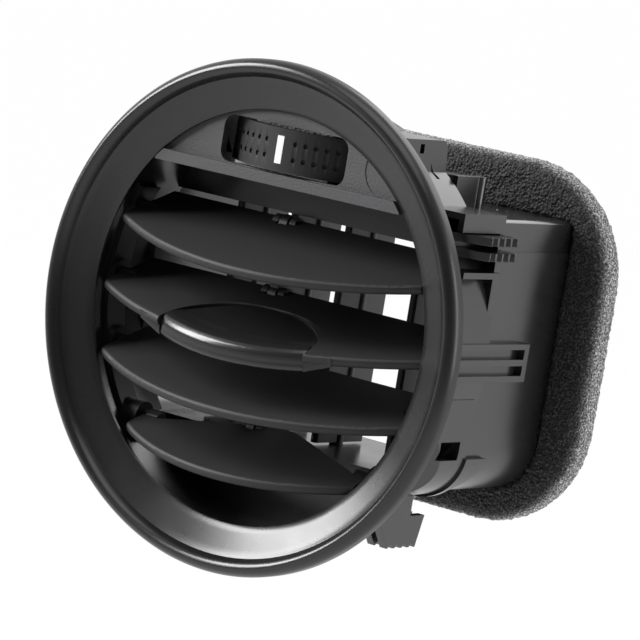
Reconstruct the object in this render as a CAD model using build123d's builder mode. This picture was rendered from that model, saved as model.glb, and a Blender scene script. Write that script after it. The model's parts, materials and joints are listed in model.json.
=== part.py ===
from build123d import *
import os
from math import cos, hypot, radians, sin, sqrt

os.makedirs("parts", exist_ok=True)

# A round dashboard air vent. Lengths are in millimetres. The origin is the centre of the
# ring's widest circle, +X is to the right, +Y runs back into the dashboard and +Z is up.

# Bezel ring: a rounded rim round a dished face, which runs in to a thin lip
ring_radius = 55.0
ring_bead_width = 4.0
ring_bead_height = 2.1
ring_crease_depth = 0.25
ring_crease_fillet = 1.2
ring_skirt_depth = 2.0
ring_skirt_wall = 1.8
ring_wall = 1.75
ring_face_width = 10.7
lip_radius = ring_radius - ring_face_width
lip_depth = 3.0
lip_thickness = 0.8
ring_seat_depth = 4.0
spigot_wall = 1.5
spigot_length = 3.0

# Front housing: a round collar that ends in a web, and a chamber for the wheel on its top
bore_step = 1.5
bore_radius = lip_radius + bore_step
collar_wall = 1.4
web_depth = 23.2
web_thickness = 1.4
air_top_drop = 24.4
air_top = bore_radius - air_top_drop
panel_bottom = bore_radius - 17.3
shelf_top = panel_bottom + 1.7
shelf_thickness = 1.8
chamber_half_width = bore_radius - 16.8
chamber_top = bore_radius - 1.8
chamber_front = 7.2
chamber_back = 23.8
chamber_wall = 1.5
chamber_rake = 1.6
chamber_corner = 2.0
slot_apex = (16.9, 39.2)
slot_foot = (19.4, 22.2)
slot_sill = 1.2
core_slot = (13.0, 42.0)
core_slot_size = (1.5, 2.0)

# Rear duct: a straight box section with a square top and rounded bottom corners
duct_half_width = bore_radius + 0.2
duct_floor = 15.8 - bore_radius
duct_wall = 1.8
duct_corner_top = 2.0
duct_corner_bottom = 11.0
step_height = shelf_top - 6.8
step_relief = 0.5

# Outside of the housing: lugs over the duct, corner plates, ledges, snap windows and pads
tongue_back = 29.2
tongue_top = duct_floor + 9.2
tongue_wall = 1.2
tongue_curve = ((29.2, 8.0), (26.9, 4.9), (23.2, 1.6))
corner_plate_front = 8.0
corner_plate_wall = 1.4
corner_plate_bottom = shelf_top - 2.9
corner_plate_top = shelf_top + 1.0
corner_plate_inner = 0.778
ledge_rib_height = 18.6
ledge_rib_thickness = 1.3
ledge_rib_reach = 48.0
ledge_rib_back = 21.5
window_low = -21.0
window_high = -17.0
window_slant = 2.0
window_span = (12.0, 19.0)
pad_centre = (19.4, -15.4)
pad_size = (4.2, 3.2)
pad_stand = 0.7

# Grooved guide pads on both sides, half on the collar and half on the duct
guide_reach = duct_half_width + 2.0
guide_front = 11.6
guide_back = 37.0
guide_height = 8.2
guide_groove = 2.1
guide_groove_depth = 1.7
guide_groove_heights = (1.8, -1.7)
guide_end_wall = 1.6

# Foam seal, a closed band round the rear end of the duct
vane_pivot_depth = 40.0
foam_front = vane_pivot_depth + 9.0
duct_back = foam_front + 8.0
foam_thickness = 8.5
foam_bottom_thickness = 7.0
foam_corner = 17.0
foam_edge = 2.5
foam_overhang = 0.8

# Horizontal slats, tilted together about pins at their ends
slat_height_shares = (0.3624, 0.0240, -0.2926, -0.6201)
slat_heights = [share * bore_radius for share in slat_height_shares]
slat_end_gaps = (2.1, 2.4, 2.8, 4.7)
slat_front_reach = (6.8, 6.6, 6.8, 3.6)
slat_tip_depths = (4.4, 4.9, 4.6, 5.2)
slat_thickness = 2.2
slat_pivot_depth = 11.6
slat_rear_chord = 8.4
slat_rear_inset = 1.4
last_slat_rear_half = 4.0
last_slat_taper_chord = -1.4
last_slat_lobe_chord = 2.0
slat_rest_tilt = 20.3
slat_edge_fillet = 0.9
pin_radius = 1.5
pin_root_length = 4.0
running_gap = 0.05
boss_radius = 3.2
boss_face_gap = 0.5
strip_thickness = 1.0
strip_depth_width = 6.0
strip_margin = 4.5
strip_top = slat_heights[0] + strip_margin
strip_bottom = slat_heights[-1] - strip_margin
pin_end_gap = 0.3

# Link bar that ties the slats together, on a short pin in a notch at each rear edge
crank_chord = 7.4
crank_pin_radius = 1.2
crank_x = -6.5
link_thickness = 2.2
link_side_gap = 0.4
ear_radius = 2.0
ear_length = 1.6
link_eye_radius = 2.2
link_spine_width = 2.8

# Handle cap set into the slat at the middle of the vent
cap_half_width = 19.6
cap_gap = 0.15
cap_rear_chord = -0.7
cap_shoulder_half = 17.0
cap_shoulder_chord = -5.0
cap_front_chord = -20.6
cap_tip_chord = -14.6
cap_top_offset = 1.3
cap_bottom_offset = -3.3
cap_corner = 4.0
cap_dish = (-10.5, 0.3)
cap_nose_back = 2.2
cap_nose_middle = 0.7
cap_heel_back = 1.4
cap_belly_back = 8.0

# Control panel above the slats, with the window of the thumbwheel
panel_front = 4.0
panel_thickness = 2.0
panel_gap = 0.2
ledge_half_width = 0.745 * lip_radius
ledge_top = panel_bottom + 2.5
ledge_reach = 1.4
ledge_gap = 0.4
wheel_radius = chamber_half_width - 4.35
window_half_width = wheel_radius - 7.95
window_bottom = panel_bottom + 2.7
window_top = chamber_top - 2.6
window_corner = 2.6
pad_x = window_half_width + 10.8
pad_height = panel_bottom + 8.0
pad_radius = 5.7
pad_recess = 0.15

# Thumbwheel, a sector that turns about an upright axle behind the panel
wheel_axis_depth = wheel_radius + 2.35
wheel_height = window_top - window_bottom - 1.0
wheel_rim = 2.0
wheel_left_angle = 78.0
wheel_right_angle = 68.0
wheel_web_thickness = 2.0
wheel_hub_radius = 4.0
axle_radius = 2.0
axle_head_radius = 3.4
axle_head_height = 1.0
axle_boss_height = 1.2
axle_end_gap = 0.3
dot_radius = 0.55
dot_depth = 0.35
dot_rows = (-1.7, 1.7)
dot_pitch = 5.6
dot_first = 9.0
dot_count = 7
mark_width = 1.8
mark_height = wheel_height - 3.2
mark_depth = 1.2

# Upright vanes in the duct, turned together by the wheel through a rod and a lever
vane_xs = (-15.0, 0.0, 20.0, -30.0, 33.0)
lever_vane_x = 20.0
vane_chord = 17.8
vane_thickness = 1.8
vane_end_gap = 0.5
vane_pin_radius = 1.5
vane_crank_chord = 6.5
vane_link_height = duct_floor + 8.0
vane_notch_depth = 5.2
vane_notch_height = 5.0
lever_crank = 8.0
lever_thickness = 1.8
lever_width = 5.0
lever_gap = 0.3
lever_hub_height = 5.2
lever_hub_wall = 1.8
guard_x = 30.2
guard_wall = 1.4
guard_front = 24.0
guard_back = 33.2
guard_height = 6.8
guard_end_radius = 1.5
rod_thickness = 1.6
rod_width = 3.6
rod_eye_radius = 2.8
rod_pin_radius = 1.5

# Retention clips, pairs of toothed fingers on the sides and under the collar
clip_side_span = (8.0, 22.7)
clip_bottom_span = (9.5, 25.0)
clip_finger = 1.8
clip_spacing = 3.2
clip_side_height = 0.535 * bore_radius
clip_side_reach = duct_half_width + 4.2
clip_bottom_x = 0.7205 * bore_radius
clip_bottom_reach = 12.5 - duct_floor
clip_teeth = 4
clip_tooth_radius = 0.9
clip_seat_depth = 1.6
clip_wall_gap = 0.2
clip_slope = 2.6


def facing_front(depth):
    """Sketch plane square to the air flow, this far behind the ring's widest circle."""
    return Plane.XZ.offset(-depth)


def slat_plane(height):
    """Plane of a slat at rest: x to the right and y back along its chord, from its pins."""
    tilt = radians(slat_rest_tilt)
    return Plane(
        origin=(0, slat_pivot_depth, height),
        x_dir=(1, 0, 0),
        z_dir=(0, -sin(tilt), cos(tilt)),
    )


def chord_at(depth):
    """Distance along a slat's chord of a point at this depth behind the ring."""
    return (depth - slat_pivot_depth) / cos(radians(slat_rest_tilt))


def duct_outline(grow=0.0):
    """Section of the duct, square at the top and rounded at the bottom, made larger by grow."""
    top = shelf_top + grow
    bottom = duct_floor - grow
    with Locations((0, (top + bottom) / 2)):
        Rectangle(2 * (duct_half_width + grow), top - bottom)
    corners = vertices().group_by(Axis.Y)
    fillet(corners[0], duct_corner_bottom + grow)
    fillet(vertices().group_by(Axis.Y)[-1], max(duct_corner_top + grow, 0.4))


# Bezel ring, one turned section. The collar's front edge seats inside its spigot.
spigot_inner = bore_radius + collar_wall + panel_gap
crease_radius = ring_radius - ring_bead_width
with BuildPart() as bezel_ring:
    with BuildSketch(Plane.XY) as ring_section:
        with BuildLine():
            dish = Line((lip_radius, lip_depth), (crease_radius, ring_crease_depth))
            bead = ThreePointArc(
                dish @ 1,
                (ring_radius - ring_bead_width / 2, -ring_bead_height),
                (ring_radius, 0),
            )
            skirt_inner = ring_radius - ring_skirt_wall
            dish_slope = (ring_crease_depth - lip_depth) / (crease_radius - lip_radius)
            back_start = lip_depth + ring_wall
            spigot_outer = spigot_inner + spigot_wall
            Polyline(
                bead @ 1,
                (ring_radius, ring_skirt_depth),
                (skirt_inner, ring_skirt_depth),
                (skirt_inner, back_start + dish_slope * (skirt_inner - lip_radius)),
                (spigot_outer, back_start + dish_slope * (spigot_outer - lip_radius)),
                (spigot_outer, ring_seat_depth + spigot_length),
                (spigot_inner, ring_seat_depth + spigot_length),
                (spigot_inner, ring_seat_depth),
                (bore_radius, ring_seat_depth),
                (lip_radius, lip_depth + lip_thickness),
                dish @ 0,
            )
        make_face()
        fillet(
            vertices().sort_by_distance((crease_radius, ring_crease_depth))[0],
            ring_crease_fillet,
        )
    revolve(axis=Axis.Y)
bezel_ring.part.label = "bezel_ring"
export_step(bezel_ring.part, "parts/bezel_ring.step")

# Control panel, a segment of a disc behind the lip, with a ledge along its lower edge
window_height = window_top - window_bottom
wheel_mid_height = (window_top + window_bottom) / 2
with BuildPart() as control_panel:
    with BuildSketch(facing_front(panel_front + panel_thickness)):
        Circle(bore_radius - panel_gap)
        with Locations((0, panel_bottom - ring_radius)):
            Rectangle(2 * ring_radius, 2 * ring_radius, mode=Mode.SUBTRACT)
        with Locations((0, wheel_mid_height)):
            RectangleRounded(2 * window_half_width, window_height, window_corner, mode=Mode.SUBTRACT)
    extrude(amount=panel_thickness)
    with BuildSketch(facing_front(panel_front)):
        Circle(lip_radius - ledge_gap)
        with Locations((0, (panel_bottom + ledge_top) / 2)):
            Rectangle(2 * ledge_half_width, ledge_top - panel_bottom, mode=Mode.INTERSECT)
    extrude(amount=ledge_reach)
    with BuildSketch(facing_front(panel_front)):
        with Locations((-pad_x, pad_height), (pad_x, pad_height)):
            Circle(pad_radius)
    extrude(amount=-pad_recess, mode=Mode.SUBTRACT)
control_panel.part.label = "control_panel"
export_step(control_panel.part, "parts/control_panel.step")

# Front housing. The air runs through its bore, the wheel sits over the shelf.
collar_radius = bore_radius + collar_wall
collar_front = ring_seat_depth
shelf_front = panel_front + panel_thickness
web_front = web_depth - web_thickness
sides = (-1, 1)
with BuildPart() as front_housing:
    # Collar
    with BuildSketch(facing_front(web_depth)):
        Circle(collar_radius)
    extrude(amount=web_depth - collar_front)
    # Web plate where the round collar meets the box section
    with BuildSketch(facing_front(web_depth)):
        duct_outline()
    extrude(amount=web_thickness)
    # Guide pads on the collar's sides
    for side in sides:
        with BuildSketch(facing_front(web_depth)):
            with Locations((side * guide_reach / 2, 0)):
                Rectangle(guide_reach, guide_height)
        extrude(amount=web_depth - guide_front)
    # Plates that close the corners above the side clips
    with BuildSketch(facing_front(web_depth)):
        with Locations((0, (corner_plate_bottom + corner_plate_top) / 2)):
            Rectangle(2 * duct_half_width, corner_plate_top - corner_plate_bottom)
            Rectangle(
                2 * (duct_half_width - corner_plate_wall),
                corner_plate_top - corner_plate_bottom,
                mode=Mode.SUBTRACT,
            )
        with Locations((0, corner_plate_top - corner_plate_wall / 2)):
            Rectangle(2 * duct_half_width, corner_plate_wall)
    extrude(amount=web_depth - corner_plate_front)
    # Ledges under the side clips
    with BuildSketch(facing_front(ledge_rib_back)):
        with Locations((0, ledge_rib_height)):
            Rectangle(2 * ledge_rib_reach, ledge_rib_thickness)
    extrude(amount=ledge_rib_back - corner_plate_front)
    # Small raised pads low on the collar's sides
    with BuildSketch(Plane.YZ):
        with Locations(pad_centre):
            RectangleRounded(*pad_size, pad_stand)
    extrude(amount=sqrt(collar_radius**2 - pad_centre[1] ** 2) + pad_stand, both=True)
    # Lugs that lap round the bottom corners of the duct, cut to a curve behind
    with BuildSketch(facing_front(tongue_back)):
        duct_outline(tongue_wall)
        with Locations((0, tongue_top + ring_radius)):
            Rectangle(4 * ring_radius, 2 * ring_radius, mode=Mode.SUBTRACT)
    extrude(amount=tongue_back - web_front)
    with BuildSketch(facing_front(tongue_back)):
        duct_outline()
    extrude(amount=tongue_back - web_depth, mode=Mode.SUBTRACT)
    with BuildSketch(Plane.YZ):
        with BuildLine():
            curve = ThreePointArc(*[(y, duct_floor + z) for y, z in tongue_curve])
            Polyline(
                curve @ 1,
                (web_depth, duct_floor - 2 * tongue_wall),
                (tongue_back + 1, duct_floor - 2 * tongue_wall),
                (tongue_back + 1, duct_floor + tongue_curve[0][1]),
                curve @ 0,
            )
        make_face()
    extrude(amount=ring_radius, both=True, mode=Mode.SUBTRACT)
    # The segment above the shelf, closed behind by the web
    with BuildSketch(facing_front(web_front)):
        Circle(bore_radius)
        with Locations((0, shelf_top - ring_radius)):
            Rectangle(2 * ring_radius, 2 * ring_radius, mode=Mode.SUBTRACT)
    extrude(amount=web_depth, mode=Mode.SUBTRACT)
    # Round bore for the slats, as far as the web
    with BuildSketch(facing_front(web_front)):
        Circle(bore_radius)
        with Locations((0, shelf_top - shelf_thickness + ring_radius)):
            Rectangle(2 * ring_radius, 2 * ring_radius, mode=Mode.SUBTRACT)
    extrude(amount=web_depth, mode=Mode.SUBTRACT)
    # Air opening through the web
    with BuildSketch(facing_front(web_depth + 1)):
        duct_outline(-duct_wall)
        Circle(bore_radius, mode=Mode.INTERSECT)
        with Locations((0, air_top + ring_radius)):
            Rectangle(2 * ring_radius, 2 * ring_radius, mode=Mode.SUBTRACT)
    extrude(amount=web_depth, mode=Mode.SUBTRACT)
    # Chamber over the shelf, raked behind and open to the front and to the rear
    with BuildSketch(facing_front(chamber_back)):
        with Locations((0, (shelf_top + chamber_top) / 2)):
            Rectangle(2 * chamber_half_width, chamber_top - shelf_top)
    extrude(amount=chamber_back - chamber_front)
    with BuildSketch(Plane.YZ):
        with BuildLine():
            corner_back = chamber_back - chamber_rake
            corner_low = chamber_top - chamber_corner
            middle = chamber_corner * (1 - sin(radians(45)))
            rounded = ThreePointArc(
                (corner_back, corner_low),
                (corner_back - middle, chamber_top - middle),
                (corner_back - chamber_corner, chamber_top),
            )
            Polyline(
                rounded @ 1,
                (chamber_back + 1, chamber_top),
                (chamber_back + 1, shelf_top),
                (chamber_back, shelf_top),
                rounded @ 0,
            )
        make_face()
    extrude(amount=ring_radius, both=True, mode=Mode.SUBTRACT)
    with BuildSketch(facing_front(chamber_back + 1)):
        with Locations((0, (shelf_top + chamber_top - chamber_wall) / 2)):
            Rectangle(
                2 * (chamber_half_width - chamber_wall),
                chamber_top - chamber_wall - shelf_top,
            )
    extrude(amount=chamber_back + 1, mode=Mode.SUBTRACT)
    # Two slots in each side of the chamber
    for side in sides:
        with BuildSketch(Plane.YZ.offset(side * chamber_half_width)):
            Polygon(
                slot_apex,
                (slot_foot[0], shelf_top + slot_sill),
                (slot_foot[1], shelf_top + slot_sill),
                align=None,
            )
            with Locations(core_slot):
                Rectangle(*core_slot_size)
        extrude(amount=chamber_wall, both=True, mode=Mode.SUBTRACT)
    # The panel stands in front of the shelf
    with BuildSketch(facing_front(shelf_front)):
        Circle(bore_radius)
    extrude(amount=shelf_front, mode=Mode.SUBTRACT)
    # Room above the panel where the chamber's roof meets the ring's spigot
    with BuildSketch(facing_front(chamber_front)):
        Circle(2 * ring_radius)
        Circle(collar_radius, mode=Mode.SUBTRACT)
    extrude(amount=chamber_front, mode=Mode.SUBTRACT)
    # Grooves of the guide pads, and a snap window low on each side
    for side in sides:
        with BuildSketch(Plane.YZ.offset(side * guide_reach)):
            for height in guide_groove_heights:
                with Locations(((guide_front + web_depth) / 2, height)):
                    Rectangle(web_depth - guide_front, guide_groove)
        extrude(amount=-side * guide_groove_depth, mode=Mode.SUBTRACT)
        with BuildSketch(Plane.YZ):
            Polygon(
                (window_span[0], window_low),
                (window_span[0] + window_slant, window_high),
                (window_span[1] - window_slant, window_high),
                (window_span[1], window_low),
                align=None,
            )
        extrude(amount=side * ring_radius, mode=Mode.SUBTRACT)
front_housing.part.label = "front_housing"
export_step(front_housing.part, "parts/front_housing.step")

# Rear duct, with a boss on its roof for the wheel's axle and holes for the vanes' pins
duct_inner_roof = shelf_top - duct_wall
duct_inner_floor = duct_floor + duct_wall
with BuildPart() as rear_duct:
    with BuildSketch(facing_front(duct_back)):
        duct_outline()
    extrude(amount=duct_back - web_depth)
    with BuildSketch(facing_front(duct_back)):
        duct_outline(-duct_wall)
    extrude(amount=duct_back - web_depth, mode=Mode.SUBTRACT)
    # Upper side walls stand a little further in, above a long step
    with BuildSketch(facing_front(duct_back)):
        with Locations(
            (duct_half_width, (step_height + shelf_top) / 2),
            (-duct_half_width, (step_height + shelf_top) / 2),
        ):
            Rectangle(2 * step_relief, shelf_top - step_height)
    extrude(amount=duct_back - web_depth, mode=Mode.SUBTRACT)
    # Guide pads on the sides, each with two grooves that stop short of its end
    for side in sides:
        with BuildSketch(facing_front(guide_back)):
            with Locations((side * (guide_reach + duct_half_width - duct_wall) / 2, 0)):
                Rectangle(guide_reach - duct_half_width + duct_wall, guide_height)
        extrude(amount=guide_back - web_depth)
        with BuildSketch(Plane.YZ.offset(side * guide_reach)):
            for height in guide_groove_heights:
                with Locations(((guide_back - guide_end_wall + web_depth) / 2, height)):
                    Rectangle(guide_back - guide_end_wall - web_depth, guide_groove)
        extrude(amount=-side * guide_groove_depth, mode=Mode.SUBTRACT)
    # Low wall on the roof that guards the lever
    with BuildSketch(Plane.XY.offset(shelf_top)):
        with Locations((guard_x + guard_wall / 2, (guard_front + guard_back) / 2)):
            Rectangle(guard_wall, guard_back - guard_front)
        with Locations((guard_x + guard_wall / 2, guard_back)):
            Circle(guard_end_radius)
    extrude(amount=guard_height)
    # Boss for the wheel's axle, and holes for the vanes' pins
    with BuildSketch(Plane.XY.offset(shelf_top)):
        with Locations((0, wheel_axis_depth)):
            Circle(wheel_hub_radius)
    extrude(amount=axle_boss_height)
    with BuildSketch(Plane.XY.offset(duct_inner_roof)):
        with Locations((0, wheel_axis_depth)):
            Circle(axle_radius)
    extrude(amount=duct_wall + axle_boss_height, mode=Mode.SUBTRACT)
    with BuildSketch(Plane.XY.offset(duct_floor)):
        with Locations(*[(x, vane_pivot_depth) for x in vane_xs]):
            Circle(vane_pin_radius + running_gap)
    extrude(amount=shelf_top - duct_floor, mode=Mode.SUBTRACT)
rear_duct.part.label = "rear_duct"
export_step(rear_duct.part, "parts/rear_duct.step")

# Foam seal, a band with well rounded outer corners
foam_back = duct_back + foam_overhang
foam_top = shelf_top + foam_thickness
foam_bottom = duct_floor - foam_bottom_thickness
with BuildPart() as foam_gasket:
    with BuildSketch(facing_front(foam_back)):
        with Locations((0, (foam_top + foam_bottom) / 2)):
            RectangleRounded(
                2 * (duct_half_width + foam_thickness), foam_top - foam_bottom, foam_corner
            )
    extrude(amount=foam_back - foam_front)
    fillet(edges().group_by(Axis.Y)[0] + edges().group_by(Axis.Y)[-1], foam_edge)
    with BuildSketch(facing_front(foam_back)):
        duct_outline()
    extrude(amount=foam_back - foam_front, mode=Mode.SUBTRACT)
foam_gasket.part.label = "foam_gasket"
export_step(foam_gasket.part, "parts/foam_gasket.step")

# Slats. Half lengths follow the bore's chord at each height, less a gap at the ends.
crank_notch_half = link_thickness / 2 + link_side_gap
slat_halves = [
    sqrt(bore_radius**2 - height**2) - gap
    for height, gap in zip(slat_heights, slat_end_gaps)
]
pin_ends = [
    sqrt(bore_radius**2 - (abs(height) + pin_radius) ** 2) - pin_end_gap
    for height in slat_heights
]


def cap_outline(grow=0.0):
    """Plan of the handle cap: a shallow arc behind, raked sides and a bowed front."""
    half = cap_half_width + grow
    shoulder = cap_shoulder_half + grow
    with BuildLine() as plan:
        rear = ThreePointArc(
            (-shoulder, cap_shoulder_chord + grow),
            (0, cap_rear_chord + grow),
            (shoulder, cap_shoulder_chord + grow),
        )
        Line(rear @ 1, (half, cap_tip_chord - grow))
        front = ThreePointArc(
            (half, cap_tip_chord - grow),
            (0, cap_front_chord - grow),
            (-half, cap_tip_chord - grow),
        )
        Line(front @ 1, rear @ 0)
    make_face(plan.edges())
    fillet(vertices().sort_by(Axis.Y)[-2:], cap_corner + grow)


for number in range(1, len(slat_heights) + 1):
    height = slat_heights[number - 1]
    half = slat_halves[number - 1]
    tip_chord = chord_at(slat_tip_depths[number - 1])
    front_chord = chord_at(-slat_front_reach[number - 1])
    plane = slat_plane(height)
    rear_points = [(half - slat_rear_inset, slat_rear_chord)]
    # The lowest slat tapers behind, where the bore closes in, and keeps a lobe at each pin
    if number == len(slat_heights):
        lobe_start = half - pin_root_length
        rear_points = [
            (half, last_slat_lobe_chord),
            (lobe_start, last_slat_lobe_chord),
            (lobe_start, last_slat_taper_chord),
            (last_slat_rear_half, slat_rear_chord),
        ]
    with BuildPart() as slat:
        with BuildSketch(plane):
            with BuildLine():
                front = ThreePointArc((-half, tip_chord), (0, front_chord), (half, tip_chord))
                Polyline(
                    front @ 1,
                    *rear_points,
                    *[(-x, chord) for x, chord in reversed(rear_points)],
                    front @ 0,
                )
            make_face()
        extrude(amount=slat_thickness / 2, both=True)
        front_edges = [
            edge
            for edge in edges().filter_by(GeomType.CIRCLE)
            if edge.radius > bore_radius
        ]
        fillet(front_edges, slat_edge_fillet)
        # The second slat is cut away for the handle cap
        if number == 2:
            with BuildSketch(plane.offset(cap_bottom_offset - 1)):
                cap_outline(cap_gap)
                with Locations((0, cap_tip_chord - cap_half_width / 2)):
                    Rectangle(2 * (cap_half_width + cap_gap), cap_half_width)
            extrude(amount=cap_top_offset - cap_bottom_offset + 2, mode=Mode.SUBTRACT)
        # End pins, each on a short thick root
        for side in (-1, 1):
            root_start = half - pin_root_length
            with BuildSketch(Plane.YZ.offset(side * root_start)):
                with Locations((slat_pivot_depth, height)):
                    Circle(pin_radius)
            extrude(amount=side * (pin_ends[number - 1] - root_start))
        # Notch for the link bar, crossed by the crank pin between two ears
        notch_depth = slat_rear_chord - crank_chord + link_eye_radius + link_side_gap
        with BuildSketch(plane):
            with Locations((crank_x, slat_rear_chord)):
                Rectangle(2 * crank_notch_half, 2 * notch_depth)
        extrude(amount=slat_thickness, both=True, mode=Mode.SUBTRACT)
        crank_center = plane.from_local_coords(Vector(0, crank_chord, 0))
        for side in (-1, 1):
            ear_start = crank_x + side * crank_notch_half
            with BuildSketch(Plane.YZ.offset(ear_start)):
                with Locations((crank_center.Y, crank_center.Z)):
                    Circle(ear_radius)
            extrude(amount=side * ear_length)
        with BuildSketch(Plane.YZ.offset(crank_x - crank_notch_half)):
            with Locations((crank_center.Y, crank_center.Z)):
                Circle(crank_pin_radius)
        extrude(amount=2 * crank_notch_half)
    slat.part.label = f"slat_{number}"
    export_step(slat.part, f"parts/slat_{number}.step")

# Handle cap, a lens in plan, deepest at its rounded front and dished on top
handle_plane = slat_plane(slat_heights[1])
tilt = radians(slat_rest_tilt)
handle_section = Plane(
    origin=(-cap_half_width - 2, slat_pivot_depth, slat_heights[1]),
    x_dir=(0, cos(tilt), sin(tilt)),
    z_dir=(1, 0, 0),
)
with BuildPart() as handle_cap:
    with BuildSketch(handle_plane.offset(cap_bottom_offset)):
        cap_outline()
    extrude(amount=cap_top_offset - cap_bottom_offset)
    with BuildSketch(handle_section):
        with BuildLine():
            top = ThreePointArc(
                (cap_rear_chord + 1, slat_thickness / 2),
                cap_dish,
                (cap_front_chord + cap_nose_back, cap_top_offset),
            )
            nose = ThreePointArc(
                top @ 1,
                (cap_front_chord, -cap_nose_middle),
                (cap_front_chord + cap_heel_back, cap_bottom_offset),
            )
            Polyline(
                nose @ 1,
                (cap_rear_chord - cap_belly_back, -slat_thickness / 2),
                (cap_rear_chord + 1, -slat_thickness / 2),
                top @ 0,
            )
        make_face()
    extrude(amount=2 * cap_half_width + 4, mode=Mode.INTERSECT)
handle_cap.part.label = "handle_cap"
export_step(handle_cap.part, "parts/handle_cap.step")

# Slat link, a flat bar with an eye round each crank pin
crank_offset = (crank_chord * cos(tilt), crank_chord * sin(tilt))
eye_places = [
    (slat_pivot_depth + crank_offset[0], height + crank_offset[1]) for height in slat_heights
]
link_top = eye_places[0][1]
link_bottom = eye_places[-1][1]
with BuildPart() as slat_link:
    with BuildSketch(Plane.YZ.offset(crank_x - link_thickness / 2)):
        with Locations(*eye_places):
            Circle(link_eye_radius)
        with Locations((eye_places[0][0], (link_top + link_bottom) / 2)):
            Rectangle(link_spine_width, link_top - link_bottom)
        with Locations(*eye_places):
            Circle(crank_pin_radius + running_gap, mode=Mode.SUBTRACT)
    extrude(amount=link_thickness)
slat_link.part.label = "slat_link"
export_step(slat_link.part, "parts/slat_link.step")

# Pivot strips, a curved strip inside each side of the collar with a boss for each pin
for side_name, side in (("left", -1), ("right", 1)):
    strip_front = slat_pivot_depth - strip_depth_width / 2
    strip_back = slat_pivot_depth + strip_depth_width / 2
    with BuildPart() as strip:
        with BuildSketch(facing_front(strip_back)):
            Circle(bore_radius)
            Circle(bore_radius - strip_thickness, mode=Mode.SUBTRACT)
            with Locations((side * ring_radius, (strip_top + strip_bottom) / 2)):
                Rectangle(2 * ring_radius, strip_top - strip_bottom, mode=Mode.INTERSECT)
        extrude(amount=strip_back - strip_front)
        for height, half in zip(slat_heights, slat_halves):
            with BuildSketch(Plane.YZ.offset(side * (half + boss_face_gap))):
                with Locations((slat_pivot_depth, height)):
                    Circle(boss_radius)
            extrude(amount=side * (bore_radius - half))
        with BuildSketch(facing_front(strip_back + boss_radius)):
            Circle(bore_radius)
        extrude(amount=strip_back - strip_front + 2 * boss_radius, mode=Mode.INTERSECT)
        for height in slat_heights:
            with BuildSketch(Plane.YZ):
                with Locations((slat_pivot_depth, height)):
                    Circle(pin_radius + running_gap)
            extrude(amount=side * ring_radius, mode=Mode.SUBTRACT)
    strip.part.label = f"pivot_strip_{side_name}"
    export_step(strip.part, f"parts/pivot_strip_{side_name}.step")

# Thumbwheel: a rim sector on a flat web, with two rows of small dots and an inlaid mark
wheel_bottom = wheel_mid_height - wheel_height / 2
wheel_top = wheel_bottom + wheel_height
web_bottom = wheel_mid_height - wheel_web_thickness / 2
rod_run = (lever_vane_x, vane_pivot_depth - wheel_axis_depth)
rod_length = hypot(*rod_run)
crank_vector = (
    lever_crank * rod_run[1] / rod_length,
    -lever_crank * rod_run[0] / rod_length,
)
wheel_crank = (crank_vector[0], wheel_axis_depth + crank_vector[1])
lever_crank_place = (lever_vane_x + crank_vector[0], vane_pivot_depth + crank_vector[1])
rod_bottom = shelf_top + lever_gap + lever_thickness + lever_gap
rod_top = rod_bottom + rod_thickness


def wheel_sector(radius):
    """Sector of the wheel about its axle, from its left end round the front to its right end."""
    left = radians(wheel_left_angle)
    right = radians(wheel_right_angle)
    with BuildLine() as outline:
        arc = ThreePointArc(
            (-radius * sin(left), wheel_axis_depth - radius * cos(left)),
            (0, wheel_axis_depth - radius),
            (radius * sin(right), wheel_axis_depth - radius * cos(right)),
        )
        Polyline(arc @ 1, (0, wheel_axis_depth), arc @ 0)
    make_face(outline.edges())


with BuildPart() as thumbwheel:
    with BuildSketch(Plane.XY.offset(wheel_bottom)):
        wheel_sector(wheel_radius)
        with Locations((0, wheel_axis_depth)):
            Circle(wheel_radius - wheel_rim, mode=Mode.SUBTRACT)
    extrude(amount=wheel_height)
    with BuildSketch(Plane.XY.offset(web_bottom)):
        wheel_sector(wheel_radius - wheel_rim / 2)
        with Locations((0, wheel_axis_depth)):
            Circle(wheel_hub_radius)
    extrude(amount=wheel_web_thickness)
    with BuildSketch(Plane.XY.offset(wheel_bottom)):
        with Locations((0, wheel_axis_depth)):
            Circle(wheel_hub_radius)
    extrude(amount=wheel_height)
    with BuildSketch(Plane.XY.offset(wheel_bottom)):
        with Locations((0, wheel_axis_depth)):
            Circle(axle_radius + running_gap)
    extrude(amount=wheel_height, mode=Mode.SUBTRACT)
    # Crank pin under the web
    with BuildSketch(Plane.XY.offset(wheel_bottom)):
        with Locations(wheel_crank):
            Circle(rod_pin_radius)
    extrude(amount=web_bottom - wheel_bottom)
    # Dots either side of the mark
    for side in (-1, 1):
        for step in range(dot_count):
            angle = side * (dot_first + step * dot_pitch)
            dot_plane = Plane(
                origin=(
                    wheel_radius * sin(radians(angle)),
                    wheel_axis_depth - wheel_radius * cos(radians(angle)),
                    wheel_mid_height,
                ),
                x_dir=(cos(radians(angle)), sin(radians(angle)), 0),
                z_dir=(sin(radians(angle)), -cos(radians(angle)), 0),
            )
            with BuildSketch(dot_plane):
                with Locations(*[(0, row) for row in dot_rows]):
                    Circle(dot_radius)
            extrude(amount=-dot_depth, mode=Mode.SUBTRACT)
    # Slot for the mark
    with BuildSketch(facing_front(wheel_axis_depth - wheel_radius + mark_depth)):
        with Locations((0, wheel_mid_height)):
            Rectangle(mark_width, mark_height)
    extrude(amount=2 * mark_depth, mode=Mode.SUBTRACT)
thumbwheel.part.label = "thumbwheel"
export_step(thumbwheel.part, "parts/thumbwheel.step")

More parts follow.
